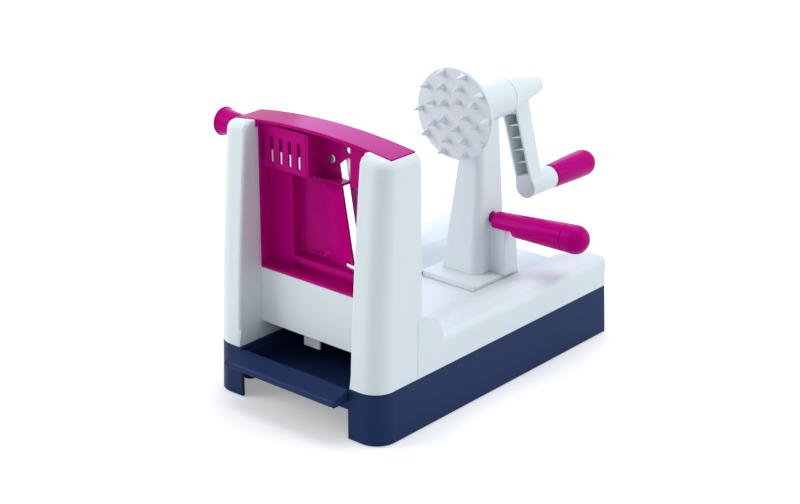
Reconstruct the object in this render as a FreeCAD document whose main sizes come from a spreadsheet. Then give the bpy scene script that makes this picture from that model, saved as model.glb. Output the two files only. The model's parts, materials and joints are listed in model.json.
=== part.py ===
import FreeCAD, Part
import math
import os
import re
import Sketcher

# Spiralizer with crank, in millimetres. Every piece is drawn about the middle of the base's
# footprint on the table: X to the right, Y to the back, Z up. Then all of it is moved alike,
# so that the origin lies under the middle of the whole object's box.

doc = FreeCAD.newDocument("Spiralizer")
sheet = doc.addObject("Spreadsheet::Sheet", "Sizes")
rules = {}
parts = []


# The driving dimensions, one plain number each, with what it measures.
SIZES = {
    # Base tub:
    "base_length": 300,  # base tub, front face to rear face
    "base_width": 177,  # base tub, side to side
    "base_height": 43.7,  # joint between tub and housing, above the table
    "wall": 3,  # wall of the tub and the housing
    "front_corner": 18,  # radius of the front corners in plan
    "rear_corner": 1.5,  # radius of the rear corners in plan
    "side_flare": 1.5,  # how far the tub's sides stand out at the bottom
    "rear_flare": 1.2,  # how far the tub's rear stands out at the bottom
    "gate_width": 115,  # gate between the two front feet
    "foot_stand": 0.8,  # how far the rubber feet hold the tub off the table
    "foot_radius": 5.5,  # rubber foot
    "foot_height": 3,  # rubber foot, table to its seat
    "foot_boss": 6.5,  # radius of the boss above a rubber foot
    "front_foot_side": 10,  # front foot's centre from the side face
    "front_foot_end": 10.5,  # front foot's centre from the front face
    "rear_foot_side": 8.5,  # rear foot's centre from the side face
    "rear_foot_end": 8.5,  # rear foot's centre from the rear face
    "ledge_height": 25,  # top of the ledges that carry the tray
    "ledge_thick": 2.2,  # thickness of the ledges
    "ledge_reach": 7.5,  # how far a ledge reaches in under the tray
    "ledge_setback": 10,  # front end of a ledge behind the front face
    "rib_station": 90,  # cross ribs of the tub, from the front face
    # Screws between tub and housing:
    "screw_side": 8.5,  # housing screw's centre from the side face
    "screw_front": 32,  # front housing screws from the front face
    "screw_rear": 30,  # rear housing screws from the rear face
    "screw_boss": 6.2,  # radius of the screw bosses
    "screw_seat": 30,  # height of the screw head's seat above the table
    "screw_bite": 12,  # length of the screw inside the housing
    "screw_shank": 1.6,  # radius of the self-tapping screws
    "screw_head": 3.4,  # radius of the screw heads
    "screw_head_height": 2.4,  # height of the screw heads
    "screw_play": 0.3,  # gap round a screw in the piece that it clamps
    "thread_play": 0.05,  # gap round a screw or pin in the piece that it bites
    # Tray:
    "slide_gap": 0.3,  # running gap of the sliding pieces
    "tray_side_gap": 0.5,  # gap between the tray and the gate on each side
    "tray_length": 180,  # tray from the base's front face to its own rear wall
    "tray_wall": 1.8,  # wall of the tray
    "tray_height": 14.7,  # height of the tray's side walls
    "tray_crest": 42.3,  # top of the tray's front wall above the table
    "lip_reach": 18,  # how far the tray's lip stands out from the base
    "lip_overlap": 1.2,  # how far the lip covers the front feet on each side
    "lip_nose": 39.4,  # height of the lip's upper edge above the table
    "lip_bottom": 32.8,  # height of the lip's lower edge above the table
    "lip_gap": 0.8,  # gap between the lip and the front feet
    "lip_round": 3,  # radius of the lip's nose
    "lip_wall": 2.2,  # wall of the hollow lip
    # Upper housing: deck and trough:
    "deck_height": 70.5,  # side rails of the deck above the table
    "deck_round": 6,  # outer edge of the deck
    "trough_floor": 54,  # trough floor above the table
    "trough_width": 63,  # width of the trough's flat floor
    "trough_lip": 2.6,  # upright at the trough's side, over the guide groove
    "trough_bow": 200,  # radius of the bowed trough sides
    "rail_inner": 69.6,  # inner edge of the deck's side rails from the middle
    "rail_backing": 5,  # plastic beside the guide groove
    # Upper housing: tower:
    "tower_depth": 52.6,  # front face of the base to the pillars' rear face
    "rim_drop": 0.5,  # how far the pillars' tops lie below the cover's curve
    "hollow_height": 212,  # top of the hollows in the pillars
    "tower_waist": 139,  # height at which the front face's rake is given
    "rake_waist": 5.2,  # set-back of the front face at the waist
    "rake_top": 13.4,  # set-back of the front face at the top
    "taper_waist": 1.1,  # set-back of each side face at the waist
    "taper_top": 2.3,  # set-back of each side face at the top
    "corner_waist": 16,  # radius of the front corners at the waist
    "corner_top": 14,  # radius of the front corners at the top
    "tower_round": 8,  # rounding of the pillars' top edges
    "throat_width": 118.6,  # clear width between the pillars
    "pillar_skin": 3.3,  # inner wall of a pillar
    "shoulder_height": 94.5,  # shoulder behind the pillars above the table
    "shoulder_round": 26,  # rounded back of the shoulder
    "bar_setback": 26.8,  # crossbar's front face behind the base's front face
    "bar_bottom": 58.5,  # underside of the crossbar above the table
    "shelf_height": 105.8,  # shelf on the crossbar above the table
    "tab_left": 25,  # left edge of the stop tab from the middle
    "tab_width": 17.5,  # width of the stop tab
    "tab_bottom": 43,  # lower edge of the stop tab above the table
    "tab_setback": 39,  # front face of the stop tab behind the base's front face
    "tab_thick": 2,  # thickness of the stop tab
    # Blade insert:
    "cover_length": 161,  # insert's cover, end to end
    "cover_front": 25,  # cover's front edge behind the base's front face
    "cover_depth": 28,  # cover, front to back
    "cover_crown": 233.7,  # crown of the cover above the table
    "cover_end": 227.8,  # top of the cover's ends above the table
    "cover_under": 224.5,  # underside of the cover's ends above the table
    "cover_skin": 2.75,  # thickness of the cover's front strip
    "insert_side": 2,  # side walls of the insert
    "insert_flange": 2.4,  # bottom flange of the insert
    "insert_back": 38,  # back of the insert's cavity behind the base's front face
    "insert_rear": 51,  # food side of the insert behind the base's front face
    "tongue_depth": 1.8,  # guide tongues on the insert's sides
    "tongue_thick": 3,  # thickness of the guide tongues, front to back
    "tongue_station": 40.5,  # middle of the guide tongues behind the base's front face
    "guide_strip": 24,  # flat strip at the left of the insert, from its side wall
    "recess_low": 119,  # lower end of the curved recess above the table
    "recess_high": 190,  # upper end of the curved recess above the table
    "recess_depth": 8,  # depth of the recess beside the strip
    "recess_bow": 100,  # radius of the recess's back
    "sill_height": 113.5,  # sill under the recess above the table
    "slit_low": 126.5,  # lower end of the slit above the table
    "slit_high": 202.3,  # upper end of the slit's left edge above the table
    "slit_foot": 30.4,  # slit's left edge from the middle, at its lower end
    "slit_slope": 0.185,  # lean of the slit to the left, per unit of height
    "slit_right": 16.2,  # width of the slit
    "slit_peak": 209.6,  # peak of the slit above the table
    "notch_height": 2.6,  # height of the notch at the slit's foot
    "notch_length": 12.5,  # length of the notch at the slit's foot
    "deflector": 2,  # thickness of the deflector at the slit's edge
    "deflector_length": 34,  # length of the sloping back of the deflector
    "peep_radius": 2.5,  # round hole near the insert's top
    "peep_side": 17.9,  # round hole's centre from the middle
    "peep_height": 215.6,  # round hole's centre above the table
    "field_left": 8.4,  # left end of the field round the centre pin, from the middle
    "field_right": 28,  # right end of that field from the middle
    "field_low": 191,  # lower edge of that field above the table
    "field_depth": 9.5,  # depth of that field
    "field_slit": 8.5,  # how far the slit lies to the left in that field
    "field_skin": 1.6,  # plastic left behind that field, beside the slit
    "pin_radius": 4,  # centre pin
    "pin_front": 0.6,  # how far the centre pin stands out of the field
    "pin_rear": 9,  # how far the centre pin stands behind the food side
    "pin_edge": 1,  # rounded front edge of the centre pin
    "pin_tip": 1.2,  # radius of the centre pin's rear tip
    # Comb carrier and blades:
    "carrier_bottom": 192,  # lower edge of the comb carrier above the table
    "carrier_top": 227.2,  # upper edge of the comb carrier above the table
    "carrier_right": 7.4,  # right edge of the comb carrier from the middle
    "carrier_thick": 9,  # comb carrier, front to back
    "slot_width": 3.2,  # slots of the comb carrier
    "slot_low": 196.5,  # lower end of the slots above the table
    "slot_high": 218,  # upper end of the slots above the table
    "slot_first": 17.5,  # right-hand slot from the middle
    "slot_pitch": 9.65,  # pitch of the slots
    "slot_count": 5,  # number of slots
    "trim_width": 2.2,  # strip at the carrier's right edge
    "trim_groove": 0.6,  # groove beside that strip
    "blade_sheet": 1,  # steel of the blades
    "tooth_thick": 1.8,  # thickness of the comb's teeth
    "tooth_height": 10.5,  # height of the comb's teeth
    "tooth_gap": 0.4,  # gap round a tooth in the insert
    "tooth_reach": 2.5,  # how far the teeth stand out behind the food side
    "blade_width": 24,  # straight blade
    "blade_lead": 4,  # blade's edge to the left of where the slit's right edge minus its gap lies
    "blade_top": 210.5,  # top of the straight blade above the table
    "blade_bottom": 124,  # bottom of the straight blade above the table
    "rivet_radius": 1.3,  # blade screws
    "rivet_head": 2.6,  # heads of the blade screws
    # Insert knob:
    "knob_height": 213.8,  # knob's axis above the table
    "knob_station": 42,  # knob's axis behind the base's front face
    "knob_reach": 117.5,  # knob's outer end from the middle
    "knob_radius": 11.9,  # flared rim of the knob
    "knob_neck": 9.2,  # neck of the knob
    "knob_stem": 5.5,  # stem between knob and insert
    "knob_dome": 5,  # rounded outer face of the knob
    "knob_flare": 80,  # hollow curve from the neck to the rim
    "knob_rim": 1.5,  # width of the knob's rim
    "knob_gap": 0.5,  # gap between the knob's neck and the pillar
    # Carriage:
    "foot_front": 43.4,  # front edge of the carriage foot behind the middle
    "foot_length": 58.6,  # carriage foot, front to back
    "foot_width": 60,  # carriage foot, side to side
    "foot_thick": 5,  # carriage foot
    "guide_depth": 2.7,  # guide tongues on the carriage foot
    "guide_thick": 1.2,  # thickness of those tongues
    "crank_height": 205.5,  # crank axis above the table
    "column_left": 31,  # column's foot, left of the middle
    "column_right": 16,  # column's foot, right of the middle
    "column_front": 62,  # column's foot, front face behind the middle
    "column_rear": 101,  # column's foot, rear face behind the middle
    "neck_left": 11,  # column's neck, left of the middle
    "neck_right": 14,  # column's neck, right of the middle
    "neck_front": 68,  # column's neck, front face behind the middle
    "neck_rear": 91,  # column's neck, rear face behind the middle
    "neck_height": 194,  # height at which the neck is given, inside the barrel
    "column_round": 9,  # rounded front edges of the column
    "column_wall": 3,  # wall of the column
    "column_web": 10,  # web inside the column
    "column_screw_left": 14,  # left column screw from the middle
    "column_screw_right": 6,  # right column screw from the middle
    "column_screw_bite": 14,  # length of the column screws inside the column
    "bracket_right": 33,  # bracket's foot, right of the middle
    "bracket_lean": 2.5,  # lean of the bracket's right face
    "bracket_front": 80,  # bracket's front face behind the middle
    "bracket_rear": 97,  # bracket's rear face behind the middle
    # Barrel, bushes and shaft:
    "disc_front": 47.3,  # front face of the prong disc behind the middle
    "disc_thick": 3.5,  # prong disc
    "disc_radius": 39.5,  # prong disc
    "disc_edge": 1,  # rounded rim of the prong disc
    "disc_boss": 10.3,  # radius of the disc's boss
    "boss_depth": 8,  # length of the disc's boss
    "turn_gap": 0.3,  # gap between turning and standing faces
    "barrel_gap": 0.6,  # gap between disc and barrel
    "barrel_front": 18.6,  # radius of the barrel at its front end
    "barrel_rear": 16.2,  # radius of the barrel at its rear end
    "barrel_end": 113,  # rear end of the barrel behind the middle
    "bush_radius": 8,  # outer radius of the bushes
    "bush_length": 14,  # length of the bushes
    "bush_flange": 10.2,  # flange radius of the bushes
    "flange_thick": 1.5,  # flange of the bushes
    "shaft_radius": 5,  # crank shaft
    "shaft_fit": 0.06,  # running fit of the shaft in the bushes
    "shaft_seat": 2,  # plastic of the disc in front of the shaft
    "shaft_rear": 150,  # rear end of the shaft behind the middle
    "disc_pin": 1.5,  # radius of the pin across boss and shaft
    # Prongs:
    "prong_length": 9.3,  # prongs of the disc
    "prong_base": 5,  # side of a prong's square foot
    "prong_tip": 0.6,  # side of a prong's tip
    "outer_ring": 35.5,  # radius of the outer ring of prongs
    "middle_ring": 24.2,  # radius of the middle ring of prongs
    "inner_ring": 12.5,  # radius of the inner ring of prongs
    "outer_start": 2,  # angle of the outer ring's first prong
    "middle_start": 30,  # angle of the middle ring's first prong
    "inner_start": 70,  # angle of the inner ring's first prong
    # Crank:
    "crank_angle": 16.5,  # crank's turn from hanging straight down, towards the right
    "crank_throw": 81.2,  # crank axis to grip axis
    "hub_end": 166.2,  # tip of the crank's hub behind the middle
    "hub_slope": 0.178,  # taper of the hub, radius per length
    "hub_nose": 5.6,  # length of the hub's rounded nose
    "washer_thick": 1,  # thrust washer
    "washer_radius": 9,  # thrust washer
    "arm_front": 118,  # front edge of the crank arm behind the middle
    "arm_width": 17,  # crank arm
    "arm_depth": 18.8,  # crank arm at the hub, front to back
    "arm_depth_low": 15,  # crank arm at the boss, front to back
    "arm_wall": 2.2,  # wall of the crank arm's channel
    "arm_rib": 1.2,  # cross ribs in the channel
    "rib_setback": 3,  # front edges of the ribs behind the arm's front edge
    "boss_radius": 10.25,  # boss of the crank arm
    "boss_end": 152.4,  # rear end of the boss behind the middle
    "grip_pin": 3,  # radius of the grip's pin
    "pin_seat": 28,  # depth of the grip pin's seat in the boss
    "grip_washer": 0.7,  # washer between boss and grip
    "grip_foot": 10.5,  # crank grip's radius beside the boss
    "grip_radius": 12,  # crank grip's radius near its end
    "grip_length": 60.5,  # crank grip
    "grip_cap": 5,  # plastic between the pin and the grip's end
    "grip_fit": 0.06,  # running fit of the grip on its pin
    # Push lever:
    "lever_root": 17,  # lever's inner end, right of the middle
    "lever_station": 83,  # lever's axis behind the middle
    "lever_height": 104.8,  # lever's axis above the table, at its inner end
    "lever_tilt": 3.1,  # rise of the lever towards its end, in degrees
    "lever_foot": 9.2,  # lever's radius, carried on to its inner end
    "lever_end": 12.4,  # radius of the lever's round end
    "lever_length": 85.4,  # lever's inner end to the centre of its round end
    "lever_seam": 77,  # lever's inner end to the cap's seam
    "lever_split": 2.6,  # seam between the halves below the axis
    "lever_step": 23.5,  # lever's inner end to its thick part
    "lever_shell": 2.5,  # wall of the lever
    "neck_rise": 3.3,  # axis of the spigot above the lever's axis
    "neck_start": 3,  # gap between the lever and the column
    "neck_round": 2.5,  # rounded inner end of the lever
    "lever_spigot": 4.2,  # radius of the spigot that enters the column
    "spigot_length": 9,  # length of that spigot
    "spigot_play": 0.7,  # gap round the tilted spigot
    "lever_bolt": 2,  # radius of the lever's screw
    "bolt_head": 3.8,  # head radius of the lever's screw
}
for row, (alias, number) in enumerate(SIZES.items(), start=1):
    sheet.set(f"A{row}", alias.replace("_", " "))
    sheet.set(f"B{row}", str(number))
    sheet.setAlias(f"B{row}", alias)


def rule(name, expression):
    """A dimension that follows from others, written in their names."""
    rules[name] = expression


def bind(text):
    """The expression that the document reads, with every name traced back to the sheet."""

    def trace(match):
        word = match.group(0)
        if word in rules:
            return f"({bind(rules[word])})"
        return f"Sizes.{word}" if word in SIZES else word

    return re.sub(r"[a-z][a-z_]*", trace, text)


def value(text):
    return float(sheet.evalExpression(bind(text)))


doc.recompute()

# Places that several pieces share
rule("front", "-base_length/2")
rule("rear", "base_length/2")
rule("side", "base_width/2")
rule("tower_back", "front + tower_depth")
rule("shoulder_back", "tower_back + shoulder_round")
rule("throat", "throat_width/2")
rule("arch_crown", "cover_crown - rim_drop")
rule("bar_front", "front + bar_setback")
rule("tray_half", "gate_width/2 - tray_side_gap")
rule("tray_floor", "ledge_height + slide_gap")
rule("tray_back", "front + tray_length")
rule("runner", "gate_width/2")
rule("insert_half", "throat - slide_gap")
rule("insert_bottom", "shelf_height + slide_gap")
rule("cavity_back", "front + insert_back")
rule("food_side", "front + insert_rear")
rule("cover_half", "cover_length/2")
rule("cover_start", "front + cover_front")
rule("cover_radius", "(cover_half^2 + (cover_crown - cover_end)^2)/(2*(cover_crown - cover_end))")
rule("tongue_middle", "front + tongue_station")
rule("field_back", "cavity_back + field_depth")
rule("knob_line", "front + knob_station")
rule("knob_bow", "(knob_radius^2 + knob_dome^2)/(2*knob_dome)")
rule("foot_bottom", "trough_floor + slide_gap")
rule("foot_top", "foot_bottom + foot_thick")
rule("foot_rear", "foot_front + foot_length")
rule("disc_back", "disc_front + disc_thick")
rule("boss_back", "disc_back + boss_depth")
rule("barrel_start", "disc_back + barrel_gap")
rule("front_flange", "boss_back + turn_gap")
rule("hub_start", "barrel_end + turn_gap")
rule("spigot_height", "lever_height + neck_rise")
rule("bracket_top", "lever_height - lever_split - 0.1")
rule("nose_height", "(barrel_rear - hub_slope*(hub_end - hub_nose - barrel_end))")
rule("nose_radius", "(nose_height^2 + hub_nose^2)/(2*hub_nose)")
rule("grip_start", "boss_end + grip_washer + turn_gap")
rule("grip_finish", "grip_start + grip_length")
rule("web_middle", "(column_front + column_rear)/2 + 1.5")

# The object's box, for the place of the origin
rule("right_reach", "lever_root + lever_length*cos(lever_tilt) + lever_end")
rule("shift_x", "(knob_reach - right_reach)/2")
rule("shift_y", "(base_length/2 + lip_reach - grip_finish)/2")

LEFT = 1
RIGHT = -1
PLANES = {"x": "YZ_Plane", "y": "XZ_Plane", "z": "XY_Plane"}


def new_body(label, height="0"):
    """A sub-part: a body of its own, moved with all the others to the object's origin."""
    body = doc.addObject("PartDesign::Body", label)
    body.Label = label
    body.setExpression("Placement.Base.x", bind("shift_x"))
    body.setExpression("Placement.Base.y", bind("shift_y"))
    body.setExpression("Placement.Base.z", bind(height))
    parts.append(body)
    return body


def origin_plane(body, role):
    return next(item for item in body.Origin.OriginFeatures if item.Role == role)


def arc_between(start, end, radius, turn):
    """The shorter arc from start to end, turning left or right on its way."""
    chord = (end[0] - start[0], end[1] - start[1])
    length = math.hypot(*chord)
    height = math.sqrt(max(radius**2 - length**2 / 4, 0))
    middle = (
        (start[0] + end[0]) / 2 - turn * chord[1] / length * height,
        (start[1] + end[1]) / 2 + turn * chord[0] / length * height,
    )
    first, last = (start, end) if turn == LEFT else (end, start)
    angles = [math.atan2(p[1] - middle[1], p[0] - middle[0]) for p in (first, last)]
    circle = Part.Circle(FreeCAD.Vector(*middle, 0), FreeCAD.Vector(0, 0, 1), radius)
    return Part.ArcOfCircle(circle, *angles)


def hold(drawing, kind, name, expression, *where):
    """A constraint of the sketch, bound to the sheet."""
    number = drawing.addConstraint(Sketcher.Constraint(kind, *where, value(expression)))
    drawing.renameConstraint(number, name)
    drawing.setExpression(f"Constraints.{name}", bind(expression))


def draw_circle(drawing, across, up, radius):
    centre = FreeCAD.Vector(value(across), value(up), 0)
    edge = drawing.addGeometry(Part.Circle(centre, FreeCAD.Vector(0, 0, 1), value(radius)))
    hold(drawing, "DistanceX", f"across_{edge}", across, edge, 3)
    hold(drawing, "DistanceY", f"up_{edge}", up, edge, 3)
    hold(drawing, "Radius", f"radius_{edge}", radius, edge)


def draw_outline(drawing, points):
    """A closed outline. A point with a radius and a turn starts an arc, any other a line."""
    places = [(value(point[0]), value(point[1])) for point in points]
    edges = []
    for number, point in enumerate(points):
        start = places[number]
        end = places[(number + 1) % len(points)]
        if len(point) == 4:
            curve = arc_between(start, end, value(point[2]), point[3])
            ends = (1, 2) if point[3] == LEFT else (2, 1)
        else:
            curve = Part.LineSegment(FreeCAD.Vector(*start, 0), FreeCAD.Vector(*end, 0))
            ends = (1, 2)
        edges.append((drawing.addGeometry(curve), *ends))
    for number, point in enumerate(points):
        edge, begin, finish = edges[number]
        following, first, _ = edges[(number + 1) % len(points)]
        drawing.addConstraint(Sketcher.Constraint("Coincident", edge, finish, following, first))
        hold(drawing, "DistanceX", f"across_{edge}", point[0], edge, begin)
        hold(drawing, "DistanceY", f"up_{edge}", point[1], edge, begin)
        if len(point) == 4:
            hold(drawing, "Radius", f"radius_{edge}", point[2], edge)


def sketch(body, name, axis, station, outlines, up="0"):
    """A sketch across an axis of the body at a station, with its own height."""
    drawing = body.newObject("Sketcher::SketchObject", name)
    drawing.AttachmentSupport = [(origin_plane(body, PLANES[axis]), "")]
    drawing.MapMode = "FlatFace"
    drawing.setExpression("AttachmentOffset.Base.y", bind(up))
    offset = f"-({station})" if axis == "y" else station
    drawing.setExpression("AttachmentOffset.Base.z", bind(offset))
    for outline in outlines:
        if len(outline) == 3 and isinstance(outline[0], str):
            draw_circle(drawing, *outline)
        else:
            draw_outline(drawing, outline)
    return drawing


def block(body, name, axis, start, end, *outlines):
    """Material with these outlines, from one station to the next along an axis."""
    feature = body.newObject("PartDesign::Pad", name)
    feature.Profile = sketch(body, f"{name}_outline", axis, start, outlines)
    feature.setExpression("Length", bind(f"({end}) - ({start})"))
    feature.Reversed = axis == "y"
    return feature


def cut(body, name, axis, start, end, *outlines):
    """The same, taken away."""
    feature = body.newObject("PartDesign::Pocket", name)
    feature.Profile = sketch(body, f"{name}_outline", axis, start, outlines)
    feature.setExpression("Length", bind(f"({end}) - ({start})"))
    feature.Reversed = axis != "y"
    return feature


def revolve(body, name, axis, outline, up="0", away=False):
    """A turned shape: its outline lies along the axis, its radii stand up from it."""
    kind = "Groove" if away else "Revolution"
    feature = body.newObject(f"PartDesign::{kind}", name)
    drawing = sketch(body, f"{name}_outline", axis, "0", [outline], up)
    feature.Profile = drawing
    feature.ReferenceAxis = (drawing, ["H_Axis"])
    feature.Angle = 360
    return feature


def loft(body, name, axis, sections, away=False, ruled=True):
    """A shape through sections, each a station and an outline."""
    drawings = [
        sketch(body, f"{name}_section_{number}", axis, station, [outline])
        for number, (station, outline) in enumerate(sections)
    ]
    kind = "SubtractiveLoft" if away else "AdditiveLoft"
    feature = body.newObject(f"PartDesign::{kind}", name)
    feature.Profile = drawings[0]
    feature.Sections = drawings[1:]
    feature.Ruled = ruled
    return feature


def rectangle(left, low, right, high):
    return [(left, low), (right, low), (right, high), (left, high)]


def both_sides(outline):
    """An outline on the right and its mirror image on the left."""
    mirrored = []
    for point in outline:
        turn = point[2:] if len(point) == 2 else (point[2], -point[3])
        mirrored.append((f"-({point[0]})", point[1], *turn))
    return [outline, mirrored]


def circles(radius, places):
    return [(across, up, radius) for across, up in places]


def plan(half, front_line, rear_line, front_radius, rear_radius):
    """A rectangle in plan with round corners, larger radius in front."""
    return [
        (f"-({half}) + {front_radius}", front_line),
        (f"{half} - {front_radius}", front_line, front_radius, LEFT),
        (half, f"{front_line} + {front_radius}"),
        (half, f"{rear_line} - {rear_radius}", rear_radius, LEFT),
        (f"{half} - {rear_radius}", rear_line),
        (f"-({half}) + {rear_radius}", rear_line, rear_radius, LEFT),
        (f"-({half})", f"{rear_line} - {rear_radius}"),
        (f"-({half})", f"{front_line} + {front_radius}", front_radius, LEFT),
    ]


def foot_places():
    places = []
    for sign in ("-", ""):
        places.append((f"{sign}(side - front_foot_side)", "front + front_foot_end"))
        places.append((f"{sign}(side - rear_foot_side)", "rear - rear_foot_end"))
    return places


def screw_places():
    places = []
    for sign in ("-", ""):
        places.append((f"{sign}(side - screw_side)", "front + screw_front"))
        places.append((f"{sign}(side - screw_side)", "rear - screw_rear"))
    return places


def base_tub():
    body = new_body("base_tub")
    flared = plan("(side + side_flare)", "front", "(rear + rear_flare)", "front_corner", "rear_corner")
    loft(body, "tub", "z", [
        ("foot_stand", flared),
        ("base_height", plan("side", "front", "rear", "front_corner", "rear_corner")),
    ])
    inner = plan("side - wall", "front + wall", "rear - wall", "(front_corner - wall)", "rear_corner")
    cut(body, "inside", "z", "0", "base_height + 1", inner)
    gate = rectangle("-runner", "front - 1", "runner", "front + wall + 1")
    cut(body, "gate", "z", "foot_stand - 1", "base_height + 1", gate)
    under = "ledge_height - ledge_thick"
    webs = both_sides(rectangle("runner", under, "runner + wall", "base_height"))
    block(body, "runners", "y", "front + wall/2", "tray_back + 2*wall", *webs)
    ledges = both_sides(rectangle("runner - ledge_reach", under, "runner + wall/2", "ledge_height"))
    block(body, "ledges", "y", "front + ledge_setback", "tray_back + 2*wall", *ledges)
    back = rectangle("-side + wall/2", under, "side - wall/2", "base_height")
    block(body, "back_web", "y", "tray_back + wall", "tray_back + 2*wall", back)
    ribs = both_sides(rectangle("runner + wall/2", under, "side - wall/2", "base_height"))
    block(body, "side_ribs", "y", "front + rib_station", "front + rib_station + wall", *ribs)
    block(body, "foot_bosses", "z", "foot_stand", "base_height", *circles("foot_boss", foot_places()))
    block(body, "screw_bosses", "z", "foot_stand", "base_height", *circles("screw_boss", screw_places()))
    cut(body, "foot_seats", "z", "0", "foot_height",
        *circles("foot_radius + thread_play", foot_places()))
    cut(body, "head_wells", "z", "0", "screw_seat", *circles("screw_head + screw_play", screw_places()))
    cut(body, "screw_holes", "z", "0", "base_height + 1",
        *circles("screw_shank + screw_play", screw_places()))


def rubber_feet():
    body = new_body("rubber_feet")
    block(body, "pads", "z", "0", "foot_height", *circles("foot_radius", foot_places()))


def housing_screws():
    body = new_body("housing_screws")
    block(body, "heads", "z", "screw_seat - screw_head_height", "screw_seat",
          *circles("screw_head", screw_places()))
    block(body, "shanks", "z", "screw_seat", "base_height + screw_bite",
          *circles("screw_shank", screw_places()))
    cross = [
        rectangle(f"{x} - screw_shank", f"{y} - screw_shank/4", f"{x} + screw_shank", f"{y} + screw_shank/4")
        for x, y in screw_places()
    ]
    cut(body, "drive_slots", "z", "screw_seat - screw_head_height", "screw_seat - screw_head_height/2",
        *cross)


def tray():
    body = new_body("tray")
    outer = rectangle("-tray_half", "front + slide_gap", "tray_half", "tray_back")
    block(body, "box", "z", "tray_floor", "tray_floor + tray_height", outer)
    wall = "front + slide_gap + 2*tray_wall"
    inner = rectangle("-tray_half + tray_wall", wall, "tray_half - tray_wall", "tray_back - tray_wall")
    cut(body, "hollow", "z", "tray_floor + tray_wall", "tray_floor + tray_height + 1", inner)
    front_wall = [
        ("front - slide_gap - 1", "lip_bottom"),
        ("front + slide_gap + tray_wall", "lip_bottom"),
        ("front + slide_gap + tray_wall", "tray_crest"),
        ("front - slide_gap - 1", "tray_crest"),
    ]
    block(body, "front_wall", "x", "-tray_half", "tray_half", front_wall)
    lip = [
        ("front - lip_gap", "lip_bottom"),
        ("front - lip_gap", "tray_crest"),
        ("front - lip_reach + lip_round", "lip_nose", "lip_round", LEFT),
        ("front - lip_reach", "lip_nose - lip_round"),
        ("front - lip_reach", "lip_bottom + 1.6"),
        ("front - lip_reach + 1.2", "lip_bottom + 1.6"),
        ("front - lip_reach + 1.2", "lip_bottom"),
    ]
    half = "runner + lip_overlap"
    block(body, "lip", "x", f"-({half})", half, lip)
    under = [
        ("front - lip_gap - lip_wall", "lip_bottom - 1"),
        ("front - lip_gap - lip_wall", "tray_crest - lip_wall - 0.4"),
        ("front - lip_reach + lip_round + 1", "lip_nose - lip_wall"),
        ("front - lip_reach + lip_wall + 1.2", "lip_nose - lip_wall - 1.5"),
        ("front - lip_reach + lip_wall + 1.2", "lip_bottom - 1"),
    ]
    cut(body, "lip_hollow", "x", f"-({half}) + lip_wall", f"{half} - lip_wall", under)


def deck_outline(inset, floor, start, step, bow):
    """The deck across: side walls, rounded rails and the bowed flanks of the trough."""
    right = [
        (f"side - {inset}", "base_height"),
        (f"side - {inset}", "deck_height - deck_round", f"deck_round - {inset}", LEFT),
        ("side - deck_round", f"deck_height - {inset}"),
        (f"rail_inner + {inset}/2", f"deck_height - {inset}", bow, LEFT),
        (start, f"{floor} + {step}"),
        (start, floor),
    ]
    left = []
    for number, point in enumerate(reversed(right)):
        left.append([f"-({point[0]})", point[1]])
    left[1] += [bow, LEFT]
    left[3] += [f"deck_round - {inset}", LEFT]
    return right + [tuple(point) for point in left]


def tower_plan(rake, taper, corner, inset="0"):
    """The tower in plan, at a height where its faces lie back by rake and taper."""
    front_line = f"front + {rake} + {inset}"
    radius = f"({corner} - {inset})"
    half = f"(side - {taper} - {inset})"
    return [
        (f"-{half} + {radius}", front_line),
        (f"{half} - {radius}", front_line, radius, LEFT),
        (half, f"{front_line} + {radius}"),
        (half, "tower_back"),
        (f"-{half}", "tower_back"),
        (f"-{half}", f"{front_line} + {radius}", radius, LEFT),
    ]


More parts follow.
